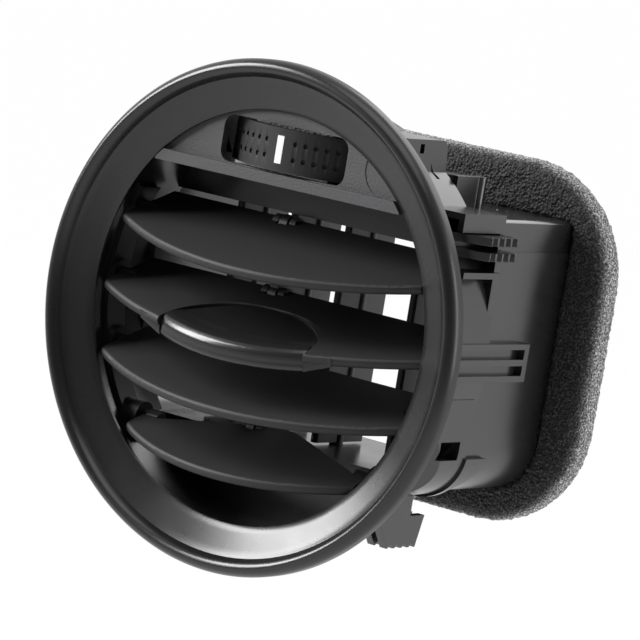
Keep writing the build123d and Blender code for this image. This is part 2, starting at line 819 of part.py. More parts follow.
# Index mark, a white bar let into the rim, proud of it by a hair
with BuildPart() as index_mark:
    with BuildSketch(facing_front(wheel_axis_depth - wheel_radius + mark_depth)):
        with Locations((0, wheel_mid_height)):
            Rectangle(mark_width, mark_height)
    extrude(amount=mark_depth)
index_mark.part.label = "index_mark"
export_step(index_mark.part, "parts/index_mark.step")

# Axle of the wheel, a headed pin in the boss on the duct's roof
with BuildPart() as wheel_axle:
    with BuildSketch(Plane.XY.offset(shelf_top)):
        with Locations((0, wheel_axis_depth)):
            Circle(axle_radius)
    extrude(amount=wheel_top + axle_end_gap - shelf_top)
    with BuildSketch(Plane.XY.offset(wheel_top + axle_end_gap)):
        with Locations((0, wheel_axis_depth)):
            Circle(axle_head_radius)
    extrude(amount=axle_head_height)
wheel_axle.part.label = "wheel_axle"
export_step(wheel_axle.part, "parts/wheel_axle.step")

# Vanes. One of them has a longer pin, which carries the lever above the roof.
vane_bottom = duct_inner_floor + vane_end_gap
vane_top = duct_inner_roof - vane_end_gap
vane_crank_depth = vane_pivot_depth + vane_crank_chord
lever_bottom = shelf_top + lever_gap
for number, vane_x in enumerate(vane_xs, start=1):
    with BuildPart() as vane:
        with BuildSketch(Plane.XY.offset(vane_bottom)):
            with Locations((vane_x, vane_pivot_depth)):
                SlotOverall(vane_chord, vane_thickness, rotation=90)
        extrude(amount=vane_top - vane_bottom)
        # Pivot pins through floor and roof, thick roots inside
        carries_lever = vane_x == lever_vane_x
        pin_top = lever_bottom + lever_hub_height if carries_lever else shelf_top - lever_gap
        with BuildSketch(Plane.XY.offset(duct_floor + lever_gap)):
            with Locations((vane_x, vane_pivot_depth)):
                Circle(vane_pin_radius)
        extrude(amount=pin_top - duct_floor - lever_gap)
        # Notch at the rear edge for the link, crossed by an upright pin
        with BuildSketch(Plane.XY.offset(vane_link_height - vane_notch_height / 2)):
            with Locations((vane_x, vane_pivot_depth + vane_chord / 2)):
                Rectangle(vane_notch_depth, 2 * vane_notch_depth)
        extrude(amount=vane_notch_height, mode=Mode.SUBTRACT)
        with BuildSketch(Plane.XY.offset(vane_link_height - vane_notch_height / 2 - 1)):
            with Locations((vane_x, vane_crank_depth)):
                Circle(crank_pin_radius)
        extrude(amount=vane_notch_height + 2)
    vane.part.label = f"vane_{number}"
    export_step(vane.part, f"parts/vane_{number}.step")

# Vane link, a bar across the duct with an eye on each vane's rear pin
with BuildPart() as vane_link:
    with BuildSketch(Plane.XY.offset(vane_link_height - link_thickness / 2)):
        with Locations(*[(x, vane_crank_depth) for x in vane_xs]):
            Circle(link_eye_radius)
        with Locations(((min(vane_xs) + max(vane_xs)) / 2, vane_crank_depth)):
            Rectangle(max(vane_xs) - min(vane_xs), link_spine_width)
        with Locations(*[(x, vane_crank_depth) for x in vane_xs]):
            Circle(crank_pin_radius + running_gap, mode=Mode.SUBTRACT)
    extrude(amount=link_thickness)
vane_link.part.label = "vane_link"
export_step(vane_link.part, "parts/vane_link.step")

# Lever on one vane's longer pin, with its own upright pin for the rod
with BuildPart() as vane_lever:
    lever_plane = Plane(
        origin=(lever_vane_x + crank_vector[0] / 2, vane_pivot_depth + crank_vector[1] / 2, lever_bottom),
        x_dir=(crank_vector[0], crank_vector[1], 0),
        z_dir=(0, 0, 1),
    )
    with BuildSketch(lever_plane):
        SlotCenterToCenter(lever_crank, lever_width)
    extrude(amount=lever_thickness)
    with BuildSketch(Plane.XY.offset(lever_bottom)):
        with Locations((lever_vane_x, vane_pivot_depth)):
            Circle(vane_pin_radius + lever_hub_wall)
    extrude(amount=lever_hub_height)
    with BuildSketch(Plane.XY.offset(lever_bottom)):
        with Locations((lever_vane_x, vane_pivot_depth)):
            Circle(vane_pin_radius)
    extrude(amount=lever_hub_height, mode=Mode.SUBTRACT)
    with BuildSketch(Plane.XY.offset(lever_bottom)):
        with Locations(lever_crank_place):
            Circle(rod_pin_radius)
    extrude(amount=rod_top + lever_gap - lever_bottom)
vane_lever.part.label = "vane_lever"
export_step(vane_lever.part, "parts/vane_lever.step")

# Control rod between the wheel's crank pin and the lever's pin
with BuildPart() as control_rod:
    rod_plane = Plane(
        origin=(
            (wheel_crank[0] + lever_crank_place[0]) / 2,
            (wheel_crank[1] + lever_crank_place[1]) / 2,
            rod_bottom,
        ),
        x_dir=(rod_run[0], rod_run[1], 0),
        z_dir=(0, 0, 1),
    )
    with BuildSketch(rod_plane):
        Rectangle(rod_length, rod_width)
        with Locations((-rod_length / 2, 0), (rod_length / 2, 0)):
            Circle(rod_eye_radius)
        with Locations((-rod_length / 2, 0), (rod_length / 2, 0)):
            Circle(rod_pin_radius + running_gap, mode=Mode.SUBTRACT)
    extrude(amount=rod_thickness)
control_rod.part.label = "control_rod"
export_step(control_rod.part, "parts/control_rod.step")

# Retention clips, each two toothed fingers joined by a foot that sits on the collar
clip_end = web_front - clip_wall_gap
side_foot = sqrt(collar_radius**2 - clip_side_height**2)
bottom_foot = sqrt(collar_radius**2 - clip_bottom_x**2)
clip_places = (
    ("right", (0, 0, clip_side_height), (1, 0, 0), (0, 0, 1)),
    ("left", (0, 0, clip_side_height), (-1, 0, 0), (0, 0, -1)),
    ("lower_right", (clip_bottom_x, 0, 0), (0, 0, -1), (1, 0, 0)),
    ("lower_left", (-clip_bottom_x, 0, 0), (0, 0, -1), (1, 0, 0)),
)
for place, origin, outwards, across in clip_places:
    on_side = place in ("right", "left")
    foot = side_foot if on_side else bottom_foot
    wall = duct_half_width if on_side else bottom_foot + clip_seat_depth
    reach = clip_side_reach if on_side else clip_bottom_reach
    clip_front, clip_back = clip_side_span if on_side else clip_bottom_span
    clip_plane = Plane(origin=origin, x_dir=outwards, z_dir=across)
    tooth_start = clip_front + 2 * clip_slope
    tooth_pitch = (clip_back - tooth_start) / clip_teeth
    with BuildPart() as clip:
        for finger in (-1, 1):
            with BuildSketch(clip_plane.offset(finger * clip_spacing / 2 - clip_finger / 2)):
                with BuildLine():
                    Polyline(
                        (foot - 2 * clip_seat_depth, clip_front),
                        (foot + clip_seat_depth, clip_front),
                        (reach, tooth_start),
                        (reach, clip_back),
                        (wall + clip_wall_gap, clip_back + clip_finger),
                        (wall + clip_wall_gap, clip_end),
                        (foot - 2 * clip_seat_depth, clip_end),
                        close=True,
                    )
                make_face()
                tooth_places = [
                    (reach, tooth_start + (tooth + 0.5) * tooth_pitch) for tooth in range(clip_teeth)
                ]
                with Locations(*tooth_places):
                    RegularPolygon(clip_tooth_radius, 4, mode=Mode.SUBTRACT)
            extrude(amount=clip_finger)
        with BuildSketch(clip_plane.offset(-clip_spacing / 2)):
            with Locations((foot, (clip_front + clip_end) / 2)):
                Rectangle(2 * clip_seat_depth, clip_end - clip_front)
        extrude(amount=clip_spacing)
        with BuildSketch(facing_front(clip_back + clip_finger)):
            Circle(collar_radius)
        extrude(amount=clip_back, mode=Mode.SUBTRACT)
    clip.part.label = f"retention_clip_{place}"
    export_step(clip.part, f"parts/retention_clip_{place}.step")
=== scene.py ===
import json
import math

import bpy
from mathutils import Matrix, Vector

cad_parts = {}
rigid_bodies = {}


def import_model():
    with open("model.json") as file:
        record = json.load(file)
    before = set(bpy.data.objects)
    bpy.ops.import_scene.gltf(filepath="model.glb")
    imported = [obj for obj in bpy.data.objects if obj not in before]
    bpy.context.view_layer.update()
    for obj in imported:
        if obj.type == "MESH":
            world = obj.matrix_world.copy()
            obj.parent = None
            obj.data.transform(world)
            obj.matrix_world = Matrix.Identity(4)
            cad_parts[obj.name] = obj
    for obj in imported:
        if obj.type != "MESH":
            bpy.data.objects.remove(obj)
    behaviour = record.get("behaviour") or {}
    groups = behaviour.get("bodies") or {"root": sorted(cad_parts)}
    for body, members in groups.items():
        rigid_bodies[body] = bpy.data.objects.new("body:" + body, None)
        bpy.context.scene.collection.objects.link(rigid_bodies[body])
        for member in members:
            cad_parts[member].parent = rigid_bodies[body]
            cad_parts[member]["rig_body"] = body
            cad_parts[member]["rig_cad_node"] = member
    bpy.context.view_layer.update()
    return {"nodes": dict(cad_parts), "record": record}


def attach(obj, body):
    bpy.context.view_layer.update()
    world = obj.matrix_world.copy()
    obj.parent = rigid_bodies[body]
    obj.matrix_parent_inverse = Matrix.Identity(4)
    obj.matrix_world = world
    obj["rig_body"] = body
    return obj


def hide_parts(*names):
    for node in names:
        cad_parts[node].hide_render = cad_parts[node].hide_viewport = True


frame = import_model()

# Camera. It stands in front of the vent, to the right of it and a little above, at the
# photograph's viewing angle. It is held at a slight roll, so that the vent seems to lean over.
camera_data = bpy.data.cameras.new("camera")
camera_data.sensor_width = 36.0
camera_data.lens = 242.14
camera_data.clip_start = 0.05
camera = bpy.data.objects.new("camera", camera_data)
bpy.context.scene.collection.objects.link(camera)
bpy.context.scene.camera = camera
stand_point = Vector((0.54620, -0.72185, 0.11072))
back = Vector((0.58525, -0.80206, 0.11911))
level_right = Vector((0.80781, 0.58944, 0.0))
level_up = back.cross(level_right)
roll = math.radians(9.324)
right = math.cos(roll) * level_right + math.sin(roll) * level_up
up = -math.sin(roll) * level_right + math.cos(roll) * level_up
camera.matrix_world = Matrix((
    (right.x, up.x, back.x, stand_point.x),
    (right.y, up.y, back.y, stand_point.y),
    (right.z, up.z, back.z, stand_point.z),
    (0.0, 0.0, 0.0, 1.0),
))

# Studio. A room that is bright behind the vent and dimmer in front of it, with a matt white
# floor well below. Four soft lamps stand round it: the main one in front to the left, and weak
# ones above, at the right and behind.
bpy.context.scene.view_settings.view_transform = "Standard"


def linear(shade):
    """Linear colour of an sRGB hex value."""
    parts = [int(shade[i:i + 2], 16) / 255 for i in (0, 2, 4)]
    return [c / 12.92 if c <= 0.04045 else ((c + 0.055) / 1.055) ** 2.4 for c in parts] + [1.0]


def add_node(tree, kind, settings=None, links=None):
    """Adds a node, sets its properties and sockets, and links other nodes' outputs to its inputs."""
    node = tree.nodes.new(kind)
    for name, value in (settings or {}).items():
        if isinstance(name, int) or name in node.inputs:
            node.inputs[name].default_value = value
        else:
            setattr(node, name, value)
    for name, (source, output) in (links or {}).items():
        tree.links.new(source.outputs[output], node.inputs[name])
    return node


room = bpy.data.worlds.new("studio_room")
bpy.context.scene.world = room
room.use_nodes = True
room_tree = room.node_tree
room_tree.nodes.clear()
direction = add_node(room_tree, "ShaderNodeTexCoord")
direction_parts = add_node(room_tree, "ShaderNodeSeparateXYZ", links={"Vector": (direction, "Generated")})
behind = add_node(
    room_tree, "ShaderNodeMapRange",
    {"From Min": -0.4, "From Max": 0.45, "To Min": 0.16, "To Max": 0.9, "interpolation_type": "SMOOTHSTEP"},
    {"Value": (direction_parts, "Y")},
)
room_light = add_node(room_tree, "ShaderNodeBackground", links={"Color": (behind, "Result")})
white = add_node(room_tree, "ShaderNodeBackground", {"Color": linear("ffffff"), "Strength": 1.0})
room_rays = add_node(room_tree, "ShaderNodeLightPath")
room_mix = add_node(
    room_tree, "ShaderNodeMixShader",
    links={"Fac": (room_rays, "Is Camera Ray"), 1: (room_light, "Background"), 2: (white, "Background")},
)
add_node(room_tree, "ShaderNodeOutputWorld", links={"Surface": (room_mix, "Shader")})


def soft_box(name, azimuth, elevation, distance, width, height, watts):
    """A rectangular lamp that looks at the vent, in degrees round from straight in front and up."""
    lamp = bpy.data.lights.new(name, "AREA")
    lamp.shape = "RECTANGLE"
    lamp.size = width
    lamp.size_y = height
    lamp.energy = watts
    round_angle = math.radians(azimuth)
    up_angle = math.radians(elevation)
    level = math.cos(up_angle)
    way = Vector((math.sin(round_angle) * level, -math.cos(round_angle) * level, math.sin(up_angle)))
    vent_middle = Vector((0.0, 0.02, 0.0))
    stand = bpy.data.objects.new(name, lamp)
    bpy.context.scene.collection.objects.link(stand)
    stand.location = way * distance + vent_middle
    stand.rotation_euler = way.to_track_quat("Z", "Y").to_euler()


soft_box("main_soft_box", azimuth=-58, elevation=25, distance=1.0, width=0.42, height=0.64, watts=17.0)
soft_box("top_soft_box", azimuth=20, elevation=72, distance=1.1, width=0.9, height=0.7, watts=4.0)
soft_box("side_soft_box", azimuth=112, elevation=12, distance=1.0, width=0.4, height=0.7, watts=3.0)
soft_box("back_light", azimuth=172, elevation=42, distance=1.0, width=0.9, height=0.5, watts=3.0)

# Matt white paint on the floor, with light and shade painted into its colour: a painted pool of
# light close under the vent, painted light behind it and painted shade in front. In reflections
# it glows with the same painted light. The camera sees it as white, with the vent's faint shadow.
floor_size = 60.0
floor_level = -0.17
bpy.ops.object.select_all(action="DESELECT")
bpy.ops.mesh.primitive_plane_add(size=floor_size, location=(0.0, 0.0, floor_level))
floor = bpy.context.object
floor.name = "floor"
floor_paint = bpy.data.materials.new("white_paint_with_painted_light")
floor_paint.use_nodes = True
floor_tree = floor_paint.node_tree
floor_tree.nodes.clear()
spot = add_node(floor_tree, "ShaderNodeTexCoord")
spot_parts = add_node(floor_tree, "ShaderNodeSeparateXYZ", links={"Vector": (spot, "Object")})
# Painted light behind the vent and painted shade in front of it.
painted_backlight_and_front_shade = add_node(
    floor_tree, "ShaderNodeMapRange",
    {"From Min": -0.1, "From Max": 0.15, "To Min": 0.2, "To Max": 0.95, "interpolation_type": "SMOOTHSTEP"},
    {"Value": (spot_parts, "Y")},
)
away = add_node(floor_tree, "ShaderNodeVectorMath", {"operation": "LENGTH"}, {"Vector": (spot, "Object")})
# A painted pool of light on the floor close under the vent.
painted_light_pool = add_node(
    floor_tree, "ShaderNodeMapRange",
    {"From Min": 0.26, "From Max": 0.62, "To Min": 0.85, "To Max": 0.2, "interpolation_type": "SMOOTHSTEP"},
    {"Value": (away, "Value")},
)
# The floor's painted light and shade: the brighter of the two.
painted_light_and_shade = add_node(
    floor_tree, "ShaderNodeMath", {"operation": "MAXIMUM"}, {0: (painted_backlight_and_front_shade, "Result"), 1: (painted_light_pool, "Result")}
)
diffuse = add_node(floor_tree, "ShaderNodeBsdfDiffuse", links={"Color": (painted_light_and_shade, "Value")})
glow = add_node(floor_tree, "ShaderNodeEmission", {"Color": linear("ffffff"), "Strength": 1.0})
floor_rays = add_node(floor_tree, "ShaderNodeLightPath")
seen_white = 0.985
seen = add_node(
    floor_tree, "ShaderNodeMath", {"operation": "MULTIPLY", 1: seen_white},
    {0: (floor_rays, "Is Camera Ray")},
)
# Painted reflection: glossy rays see the floor glowing with its painted light and shade.
painted_glow_in_reflections = add_node(
    floor_tree, "ShaderNodeMath", {"operation": "MULTIPLY"},
    {0: (floor_rays, "Is Glossy Ray"), 1: (painted_light_and_shade, "Value")},
)
glowing = add_node(
    floor_tree, "ShaderNodeMath", {"operation": "MAXIMUM"}, {0: (seen, "Value"), 1: (painted_glow_in_reflections, "Value")}
)
floor_mix = add_node(
    floor_tree, "ShaderNodeMixShader",
    links={"Fac": (glowing, "Value"), 1: (diffuse, "BSDF"), 2: (glow, "Emission")},
)
add_node(floor_tree, "ShaderNodeOutputMaterial", links={"Surface": (floor_mix, "Shader")})
floor.data.materials.append(floor_paint)

# Bezel ring. One ABS moulding of a single section, turned round the air flow: a thin lip, a
# shallow dish and a rounded bead, with a step behind it that seats on the collar. Its finely
# eroded tool gives it a satin gloss, in wide highlights that fade along the bead.


def moulded(name, shade, roughness, grain_mm=0.0, grain_depth_mm=0.0, specular=0.5, patches=0.0):
    """A moulded plastic: its colour, gloss and grain, and how far the gloss varies in slow patches."""
    # A tool's erosion is 0.03 to 0.1 mm across. That is too fine to show, so it is drawn coarser.
    # The patches, from flow in the mould and from handling, are nearly 2 cm across.
    plastic = bpy.data.materials.new(name)
    plastic.use_nodes = True
    tree = plastic.node_tree
    shader = tree.nodes["Principled BSDF"]
    shader.inputs["Base Color"].default_value = linear(shade)
    shader.inputs["Roughness"].default_value = roughness
    shader.inputs["Specular IOR Level"].default_value = specular
    shader.inputs["IOR"].default_value = 1.5
    place = add_node(tree, "ShaderNodeTexCoord")
    if patches:
        patch_mm = 16.67
        cloud = add_node(
            tree, "ShaderNodeTexNoise", {"Scale": 1000.0 / patch_mm, "Detail": 4.0, "Roughness": 0.6},
            {"Vector": (place, "Object")},
        )
        gloss = add_node(
            tree, "ShaderNodeMapRange",
            {"From Min": 0.3, "From Max": 0.7, "To Min": roughness - patches, "To Max": roughness + patches},
            {"Value": (cloud, "Fac")},
        )
        tree.links.new(gloss.outputs["Result"], shader.inputs["Roughness"])
    if grain_mm:
        grain = add_node(
            tree, "ShaderNodeTexNoise", {"Scale": 1000.0 / grain_mm, "Detail": 2.0, "Roughness": 0.6},
            {"Vector": (place, "Object")},
        )
        bump = add_node(
            tree, "ShaderNodeBump", {"Strength": 1.0, "Distance": grain_depth_mm / 1000},
            {"Height": (grain, "Fac")},
        )
        tree.links.new(bump.outputs["Normal"], shader.inputs["Normal"])
    return plastic


ring_abs = moulded("satin_eroded_abs", "19191a", 0.28, grain_mm=0.5, grain_depth_mm=0.004, patches=0.03)

# The section's points are radius and depth in mm, in order round the section.
inner_radius = 44.3
outer_radius = 55.0
dish_width = 6.7
dish_depth = 3.0
dish_rise = 2.75
lip = [(inner_radius, 3.8), (inner_radius, 3.15), (44.42, dish_depth)]
dish_shares = (0.25, 0.5, 0.75, 0.9)
dish = [(inner_radius + dish_width * share, dish_depth - dish_rise * share) for share in dish_shares]
crease = [(50.7, 0.29), (51.05, 0.1), (51.3, -0.35), (51.7, -1.1)]
bead = [(52.2, -1.72), (52.8, -2.06), (53.4, -2.05), (54.0, -1.7), (54.5, -1.13), (54.85, -0.5)]
edge = [(outer_radius, 0.1), (outer_radius, 1.85), (54.85, 2.0), (53.2, 2.0), (53.2, 3.0)]
seat = [(48.9, 5.3), (48.9, 7.0), (47.4, 7.0), (47.4, 4.0), (45.8, 4.0)]
section = lip + dish + crease + bead + edge + seat
first_radius, first_depth = section[0]
steps_round = 256
bpy.ops.object.select_all(action="DESELECT")
bpy.ops.mesh.primitive_circle_add(
    vertices=steps_round, radius=first_radius / 1000, location=(0.0, first_depth / 1000, 0.0),
    rotation=(math.radians(90), 0.0, 0.0),
)
ring = bpy.context.object
ring.name = "ring_moulding"
bpy.ops.object.transform_apply(location=True, rotation=True, scale=True)
bpy.ops.object.mode_set(mode="EDIT")
bpy.ops.mesh.select_mode(type="VERT")
bpy.ops.mesh.select_all(action="SELECT")
for (radius_before, depth_before), (radius, depth) in zip(section, section[1:] + section[:1]):
    deeper = depth - depth_before
    growth = radius / radius_before
    bpy.ops.mesh.extrude_region_move(TRANSFORM_OT_translate={"value": (0.0, deeper / 1000, 0.0)})
    bpy.ops.transform.resize(value=(growth, 1.0, growth), center_override=(0.0, depth / 1000, 0.0))
bpy.ops.mesh.select_all(action="SELECT")
bpy.ops.mesh.remove_doubles(threshold=0.00001)
bpy.ops.mesh.normals_make_consistent(inside=False)
bpy.ops.object.mode_set(mode="OBJECT")
bpy.ops.object.shade_smooth_by_angle(angle=math.radians(32))
ring.data.materials.append(ring_abs)
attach(ring, "housing")
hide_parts("bezel_ring")

# Control panel. Flat ABS with a coarse leather-like grain, clipped in above the slats. The
# grain scatters the light, so that the face looks dark grey and even from all sides.
# Like most pieces here it keeps its form: flat faces are joined and edges rounded as in a mould.
body_of = {node: body for body, nodes in frame["record"]["behaviour"]["bodies"].items() for node in nodes}


def pick(piece):
    """Selects this piece alone and makes it the active one."""
    bpy.ops.object.select_all(action="DESELECT")
    piece.select_set(True)
    bpy.context.view_layer.objects.active = piece


def dressed(node, plastic, rounding_mm):
    """A copy of the node with its edges rounded and its finish on, which stands for the plain one."""
    pick(frame["nodes"][node])
    bpy.ops.object.duplicate()
    piece = bpy.context.object
    piece.name = node + "_moulding"
    piece.parent = None
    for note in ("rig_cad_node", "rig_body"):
        if note in piece:
            del piece[note]
    piece.data.materials.clear()
    bpy.ops.object.mode_set(mode="EDIT")
    bpy.ops.mesh.select_all(action="SELECT")
    bpy.ops.mesh.remove_doubles(threshold=0.000002)
    bpy.ops.mesh.customdata_custom_splitnormals_clear()
    bpy.ops.mesh.dissolve_limited(angle_limit=math.radians(0.4))
    bpy.ops.object.mode_set(mode="OBJECT")
    sharp = math.radians(35)
    if rounding_mm:
        rounding = piece.modifiers.new("rounding", "BEVEL")
        rounding.width = rounding_mm / 1000
        rounding.segments = 2
        rounding.limit_method = "ANGLE"
        rounding.angle_limit = sharp
        rounding.use_clamp_overlap = True
        bpy.ops.object.modifier_apply(modifier=rounding.name)
    bpy.ops.object.shade_smooth_by_angle(angle=sharp)
    flat = piece.modifiers.new("flat_faces", "WEIGHTED_NORMAL")
    flat.keep_sharp = True
    flat.weight = 100
    bpy.ops.object.modifier_apply(modifier=flat.name)
    piece.data.materials.append(plastic)
    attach(piece, body_of[node])
    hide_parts(node)
    return piece


panel_abs = moulded("grained_abs", "3b3b3d", 0.62, grain_mm=0.45, grain_depth_mm=0.1)
dressed("control_panel", panel_abs, rounding_mm=0.15)

# Front housing, rear duct and the toothed clips. Black polypropylene, moulded in a polished
# tool, so it takes a soft gloss and shows the room along its flat sides. The housing snaps on
# to the duct, and the clips hold the vent in the dashboard.
housing_pp = moulded(
    "polished_black_polypropylene", "1c1c1d", 0.24,
    grain_mm=0.9, grain_depth_mm=0.004, patches=0.04, specular=0.85,
)
dressed("front_housing", housing_pp, rounding_mm=0.12)
dressed("rear_duct", housing_pp, rounding_mm=0.12)
for clip in ("right", "left", "lower_right", "lower_left"):
    dressed("retention_clip_" + clip, housing_pp, rounding_mm=0.1)

# Lower corner skins of the front housing, left and right. They carry the round collar over
# into the corners of the box section, in the same polished polypropylene as the housing that
# they are moulded with, and are left open at the snap windows.


def rounded_block(name, low, high, top_radius, bottom_radius):
    """A block from low to high, in mm, with its four edges along the air flow rounded."""
    bpy.ops.object.select_all(action="DESELECT")
    middle = [(a + b) / 2000 for a, b in zip(low, high)]
    bpy.ops.mesh.primitive_cube_add(size=1.0, location=middle)
    block = bpy.context.object
    block.name = name
    block.dimensions = [(b - a) / 1000 for a, b in zip(low, high)]
    bpy.ops.object.transform_apply(location=True, rotation=True, scale=True)
    near_edge = 0.45 * (high[2] - low[2]) / 1000
    for radius, sign in ((top_radius, 1), (bottom_radius, -1)):
        bpy.ops.object.mode_set(mode="EDIT")
        bpy.ops.mesh.select_mode(type="EDGE")
        bpy.ops.mesh.select_all(action="DESELECT")
        bpy.ops.object.mode_set(mode="OBJECT")
        corners = block.data.vertices
        for line in block.data.edges:
            first, last = (corners[i].co for i in line.vertices)
            along = abs(first.y - last.y) > 0.001
            lowest = min(sign * (first.z - middle[2]), sign * (last.z - middle[2]))
            line.select = along and lowest > near_edge
        bpy.ops.object.mode_set(mode="EDIT")
        bpy.ops.mesh.bevel(offset=radius / 1000, segments=16, affect="EDGES")
        bpy.ops.mesh.select_mode(type="VERT")
        bpy.ops.object.mode_set(mode="OBJECT")
    return block


def combine(piece, tools, operation):
    """Adds the tools to the piece, takes them from it or keeps what they share, and removes them."""
    pick(piece)
    for tool in tools:
        change = piece.modifiers.new(tool.name, "BOOLEAN")
        change.operation = operation
        change.solver = "EXACT"
        change.object = tool
        bpy.ops.object.modifier_apply(modifier=change.name)
        bpy.data.objects.remove(tool)


collar_bore = 46.6
cone_front_radius = 57.0
cone_rear_radius = 47.1
cone_length = 15.0
cone_place = (0.0, 14.5 / 1000, 0.0)
cone_turn = (math.radians(90), 0.0, 0.0)
box_half_width = 46.7
box_low = -30.7
box_corner = 11.9
skin_front = 7.0
web_face = 21.85
corner_inner = 34.0
corner_outer = 47.0
corner_top = -8.0
window_low = -21.0
window_high = -17.0
window_front = 12.0
window_back = 19.0
crisp = 0.1
for side in (-1, 1):
    near, far = sorted((side * corner_inner, side * corner_outer))
    skin = rounded_block(
        "corner_skin_left" if side < 0 else "corner_skin_right",
        (-box_half_width, skin_front, box_low), (box_half_width, web_face, 30.0),
        top_radius=2.0, bottom_radius=box_corner,
    )
    corner_zone = rounded_block("corner_zone", (near, 0.0, -40.0), (far, 30.0, corner_top), crisp, crisp)
    window = rounded_block(
        "window", (near, window_front, window_low), (far, window_back, window_high), crisp, crisp
    )
    bpy.ops.object.select_all(action="DESELECT")
    bpy.ops.mesh.primitive_cone_add(
        vertices=160, radius1=cone_front_radius / 1000, radius2=cone_rear_radius / 1000,
        depth=cone_length / 1000, location=cone_place, rotation=cone_turn,
    )
    cone = bpy.context.object
    cone.name = "cone"
    bpy.ops.object.select_all(action="DESELECT")
    bpy.ops.mesh.primitive_cylinder_add(
        vertices=160, radius=collar_bore / 1000, depth=0.06, location=cone_place, rotation=cone_turn
    )
    bore = bpy.context.object
    bore.name = "bore"
    combine(skin, [corner_zone, cone], "INTERSECT")
    combine(skin, [bore, window], "DIFFERENCE")
    bpy.ops.object.shade_smooth_by_angle(angle=math.radians(30))
    skin.data.materials.append(housing_pp)
    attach(skin, "housing")

# Pivot strips. Black polypropylene too, snapped in deep inside the collar at both ends of the
# slats. They come from a dull tool and look nearly black.
strip_pp = moulded("dull_black_polypropylene", "0e0e0f", 0.55)
dressed("pivot_strip_left", strip_pp, rounding_mm=0.1)
dressed("pivot_strip_right", strip_pp, rounding_mm=0.1)

# Vanes, link bars, lever and rod. Acetal, which slides well on its pins without grease. It has
# a dull sheen, which shows along the vanes' edges.
acetal = moulded("dull_black_acetal", "1d1d1e", 0.45, grain_mm=0.6, grain_depth_mm=0.01)
for node in (
    "slat_link", "vane_1", "vane_2", "vane_3", "vane_4", "vane_5", "vane_link", "vane_lever", "control_rod",
):
    dressed(node, acetal, rounding_mm=0.1)

# First, third and fourth slats. Glass-filled nylon, moulded in a finely eroded tool, with pins
# at both ends. They are quite matt, with a pale line of light along the front edge.
slat_nylon = moulded("matt_eroded_nylon", "18181a", 0.6, grain_mm=0.35, grain_depth_mm=0.012)
for number in ("1", "3", "4"):
    dressed("slat_" + number, slat_nylon, rounding_mm=0.0)

# Second slat. The same nylon. It carries the handle cap, so it has an oval cut-out in front,
# and its front edge grows down at both sides of the cut to meet the full height of the cap.
slat_slope = 20.3
slat_pins = (0.0, 11.6, 1.1)
cap_middle = -15.5
cap_half_width = 19.6
cap_half_depth = 14.3


def onto_slat(piece):
    """Lays a piece that was made flat about the pins onto the second slat's slope."""
    pick(piece)
    piece.rotation_euler = (math.radians(slat_slope), 0.0, 0.0)
    piece.location = [place / 1000 for place in slat_pins]
    bpy.ops.object.transform_apply(location=True, rotation=True, scale=True)


def oval(name, grow):
    """An upright block with the oval plan of the cap, larger all round by grow mm."""
    bpy.ops.object.select_all(action="DESELECT")
    bpy.ops.mesh.primitive_cylinder_add(
        vertices=128, radius=1.0, depth=1.0, location=(0.0, cap_middle / 1000, 0.0)
    )
    block = bpy.context.object
    block.name = name
    block_height = 14.0
    block.scale = ((cap_half_width + grow) / 1000, (cap_half_depth + grow) / 1000, block_height / 1000)
    bpy.ops.object.transform_apply(location=True, rotation=True, scale=True)
    onto_slat(block)
    return block


# The filler carries the slat's own thickness forward to the cap, and a flare at each side grows
# from the front edge down to the cap's lip. The oval is cut through all three.
handle_slat = dressed("slat_2", slat_nylon, rounding_mm=0.0)
filler_width = 40.2
filler_chord = 16.2
filler_thickness = 2.19
filler_middle = -8.3
bpy.ops.object.select_all(action="DESELECT")
bpy.ops.mesh.primitive_cube_add(size=1.0, location=(0.0, filler_middle / 1000, 0.0))
filler = bpy.context.object
filler.name = "filler"
filler.scale = (filler_width / 1000, filler_chord / 1000, filler_thickness / 1000)
bpy.ops.object.transform_apply(location=True, rotation=True, scale=True)
onto_slat(filler)
additions = [filler]
flare_inner = 18.5
flare_outer = 26.0
flare_rear_chord = -6.0
flare_outer_chord = -15.3
flare_top_chord = -16.7
flare_bottom_chord = -17.2
flare_top = 0.8
flare_bottom = -1.0
flare_deep_bottom = -3.3
for side in (-1, 1):
    bpy.ops.object.select_all(action="DESELECT")
    bpy.ops.mesh.primitive_cube_add(size=1.0)
    flare = bpy.context.object
    flare.name = "flare_left" if side < 0 else "flare_right"
    for corner in flare.data.vertices:
        outer = corner.co.x > 0
        front = corner.co.y < 0
        upper = corner.co.z > 0
        across = flare_outer if outer else flare_inner
        chord = flare_outer_chord if front else flare_rear_chord
        height = flare_top if upper else flare_bottom
        if front and not outer:
            chord = flare_top_chord if upper else flare_bottom_chord
            height = flare_top if upper else flare_deep_bottom
        corner.co = (side * across / 1000, chord / 1000, height / 1000)
    bpy.ops.object.mode_set(mode="EDIT")
    bpy.ops.mesh.select_all(action="SELECT")
    bpy.ops.mesh.quads_convert_to_tris()
    bpy.ops.mesh.normals_make_consistent(inside=False)
    bpy.ops.object.mode_set(mode="OBJECT")
    onto_slat(flare)
    additions.append(flare)
combine(handle_slat, additions, "UNION")
cut_gap = 0.08
combine(handle_slat, [oval("cut", cut_gap)], "DIFFERENCE")
bpy.ops.object.shade_smooth_by_angle(angle=math.radians(30))

